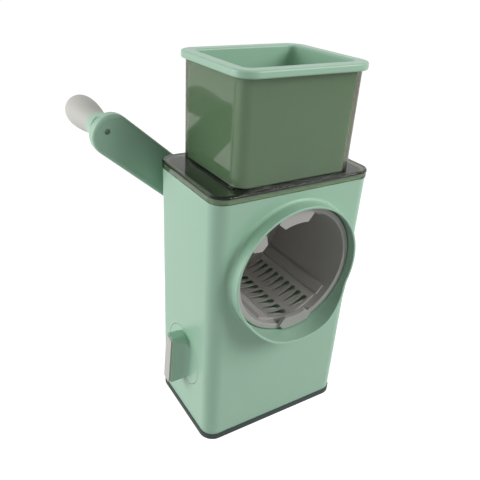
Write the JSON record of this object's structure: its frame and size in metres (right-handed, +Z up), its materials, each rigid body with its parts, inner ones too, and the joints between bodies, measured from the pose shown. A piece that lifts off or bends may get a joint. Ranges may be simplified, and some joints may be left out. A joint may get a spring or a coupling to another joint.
{
  "type": "rotary vegetable shredder",
  "caption": "Hand-cranked drum shredder: a square tinted hopper with a pusher over a mint tower with a round spouted throat, on a suction base worked by a side knob.",
  "frame": {"origin": "centre of the base's underside, on the worktop", "axes": "+Z up, the throat looks along -Y, the crank is at the back on +Y and the suction knob on the -X face"},
  "size_m": [0.1633, 0.1738, 0.2661],
  "materials": {
    "mint_plastic": "satin moulded plastic",
    "smoke_plastic": "polished smoke-tinted clear plastic",
    "grey_plastic": "satin moulded plastic",
    "light_plastic": "satin moulded plastic",
    "steel": "brushed stainless steel",
    "rubber": "matt moulded rubber",
    "bronze": "sintered bronze"
  },
  "bodies": {
    "housing": {"housing": "mint_plastic", "drum_chamber": "mint_plastic", "base_plate": "grey_plastic", "base_screws": "steel", "suction_pad": "rubber", "rear_bush": "bronze", "return_spring": "steel"},
    "crank": {"crank_arm": "mint_plastic", "crank_shaft": "steel", "hub_screw": "steel", "hub_cap": "mint_plastic", "grip_spindle": "steel", "grip_screw": "steel", "thrust_washer": "grey_plastic"},
    "grip": {"grip": "light_plastic"},
    "drum": {"drum_collar": "grey_plastic", "drum_frame": "grey_plastic", "drum_hub": "grey_plastic", "shredding_plate_lower": "steel", "shredding_plate_upper": "steel"},
    "hopper": {"hopper": "smoke_plastic"},
    "pusher": {"pusher": "mint_plastic"},
    "knob": {"suction_knob": "mint_plastic", "knob_insert": "light_plastic", "cam_shaft": "steel"},
    "stem": {"suction_stem": "grey_plastic"}
  },
  "joints": [
    {"name": "crank_spin", "type": "hinge", "parent": "housing", "child": "crank", "pos_m": [0, 0.04, 0.1365], "axis": [0, 1, 0], "continuous": true},
    {"name": "grip_spin", "type": "hinge", "parent": "crank", "child": "grip", "pos_m": [-0.09136, 0.06, 0.21508], "axis": [0, 1, 0], "continuous": true},
    {"name": "drum_slide", "type": "slide", "parent": "crank", "child": "drum", "axis": [0, -1, 0], "range_m": [0, 0.12]},
    {"name": "hopper_lift", "type": "slide", "parent": "housing", "child": "hopper", "axis": [0, 0, 1], "range_m": [0, 0.05]},
    {"name": "pusher_slide", "type": "slide", "parent": "hopper", "child": "pusher", "axis": [0, 0, 1], "range_m": [0, 0.07]},
    {"name": "knob_turn", "type": "hinge", "parent": "housing", "child": "knob", "pos_m": [-0.06, 0, 0.0553], "axis": [1, 0, 0], "range_deg": [0, 90]},
    {"name": "stem_lift", "type": "slide", "parent": "housing", "child": "stem", "axis": [0, 0, 1], "range_m": [0, 0.0046], "deforming": ["suction_pad", "return_spring"]}
  ],
  "couplings": [
    {"joint": "stem_lift", "follows": "knob_turn", "m_per_rad": 0.00288}
  ]
}
